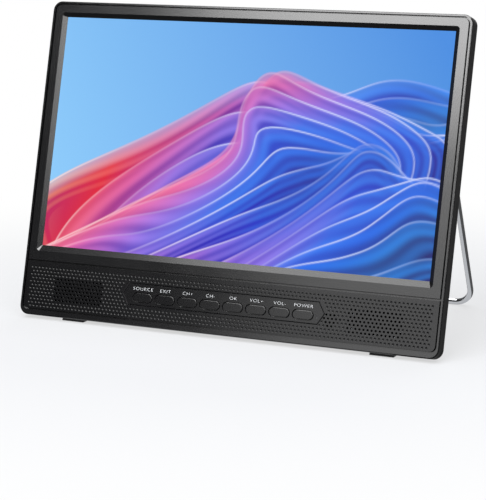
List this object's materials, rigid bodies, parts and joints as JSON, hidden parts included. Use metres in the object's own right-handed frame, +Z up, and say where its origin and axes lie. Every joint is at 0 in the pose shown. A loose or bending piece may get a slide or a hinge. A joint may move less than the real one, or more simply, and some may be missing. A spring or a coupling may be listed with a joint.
{
  "type": "portable television",
  "caption": "Flat portable television that leans back on a folding wire stand, with a row of keys and two loudspeaker grilles below the display.",
  "frame": {"origin": "centre of the bounding box on the floor that the set stands on", "axes": "+X to the viewer's right along the display's long side, -Y towards the viewer, +Z up"},
  "size_m": [0.287, 0.159, 0.201],
  "materials": {
    "housing_plastic": "moulded black ABS with a satin gloss",
    "bezel_plastic": "black ABS with a high gloss",
    "panel_plastic": "black ABS, dimpled and satin",
    "key_plastic": "black ABS, satin",
    "cover_plastic": "black ABS with a fine spark-eroded texture",
    "display": "polariser over glass, lit from behind",
    "chrome_wire": "bright chrome plating on steel wire",
    "foot_rubber": "soft black rubber",
    "screw_steel": "black oxide steel",
    "sheet_steel": "zinc-plated sheet steel",
    "aluminium": "plain extruded aluminium",
    "board": "green solder resist on glass-fibre board",
    "component": "black moulded epoxy",
    "clear_plastic": "clear acrylic",
    "cone_paper": "black pressed paper",
    "foam": "closed-cell foam",
    "magnet": "sintered ferrite",
    "battery_wrap": "shrink film",
    "socket_plastic": "black nylon",
    "socket_metal": "nickel-plated steel"
  },
  "bodies": {
    "set": {"front_housing": "housing_plastic", "display_bezel": "bezel_plastic", "speaker_panel": "panel_plastic", "key_board": "board", "tact_switches": "component", "status_light_pipe": "clear_plastic", "status_light": "component", "infrared_receiver": "component", "key_board_screws": "screw_steel", "speaker_gasket_left": "foam", "speaker_gasket_right": "foam", "speaker_basket_left": "socket_plastic", "speaker_basket_right": "socket_plastic", "speaker_cone_left": "cone_paper", "speaker_cone_right": "cone_paper", "speaker_magnet_left": "magnet", "speaker_magnet_right": "magnet", "speaker_screws": "screw_steel", "display_cell": "display", "display_pan": "sheet_steel", "light_guide": "clear_plastic", "light_strip": "board", "display_brackets": "sheet_steel", "bracket_screws": "screw_steel", "rear_cover": "cover_plastic", "cover_screws": "screw_steel", "hinge_block_left": "cover_plastic", "hinge_block_right": "cover_plastic", "hinge_screws": "screw_steel", "rubber_feet": "foot_rubber", "main_board": "board", "tuner_can": "sheet_steel", "processor": "component", "heat_sink": "aluminium", "board_screws": "screw_steel", "video_socket": "socket_metal", "usb_socket": "socket_metal", "audio_video_socket": "socket_plastic", "earphone_socket": "socket_plastic", "power_socket": "socket_plastic", "antenna_socket": "socket_metal", "battery_cells": "battery_wrap", "battery_tray": "socket_plastic"},
    "stand": {"stand_wire": "chrome_wire"},
    "key_source_body": {"key_source": "key_plastic"},
    "key_exit_body": {"key_exit": "key_plastic"},
    "key_channel_up_body": {"key_channel_up": "key_plastic"},
    "key_channel_down_body": {"key_channel_down": "key_plastic"},
    "key_ok_body": {"key_ok": "key_plastic"},
    "key_volume_up_body": {"key_volume_up": "key_plastic"},
    "key_volume_down_body": {"key_volume_down": "key_plastic"},
    "key_power_body": {"key_power": "key_plastic"}
  },
  "joints": [
    {"name": "stand_hinge", "type": "hinge", "parent": "set", "child": "stand", "pos_m": [0, -0.00037, 0.16691], "axis": [1, 0, 0], "range_deg": [-39.99, 0]},
    {"name": "press_source", "type": "slide", "parent": "set", "child": "key_source_body", "axis": [0, 0.9673, -0.2536], "range_m": [0, 0.0005], "stiffness_N_per_m": 500},
    {"name": "press_exit", "type": "slide", "parent": "set", "child": "key_exit_body", "axis": [0, 0.9673, -0.2536], "range_m": [0, 0.0005], "stiffness_N_per_m": 500},
    {"name": "press_channel_up", "type": "slide", "parent": "set", "child": "key_channel_up_body", "axis": [0, 0.9673, -0.2536], "range_m": [0, 0.0005], "stiffness_N_per_m": 500},
    {"name": "press_channel_down", "type": "slide", "parent": "set", "child": "key_channel_down_body", "axis": [0, 0.9673, -0.2536], "range_m": [0, 0.0005], "stiffness_N_per_m": 500},
    {"name": "press_ok", "type": "slide", "parent": "set", "child": "key_ok_body", "axis": [0, 0.9673, -0.2536], "range_m": [0, 0.0005], "stiffness_N_per_m": 500},
    {"name": "press_volume_up", "type": "slide", "parent": "set", "child": "key_volume_up_body", "axis": [0, 0.9673, -0.2536], "range_m": [0, 0.0005], "stiffness_N_per_m": 500},
    {"name": "press_volume_down", "type": "slide", "parent": "set", "child": "key_volume_down_body", "axis": [0, 0.9673, -0.2536], "range_m": [0, 0.0005], "stiffness_N_per_m": 500},
    {"name": "press_power", "type": "slide", "parent": "set", "child": "key_power_body", "axis": [0, 0.9673, -0.2536], "range_m": [0, 0.0005], "stiffness_N_per_m": 500}
  ]
}
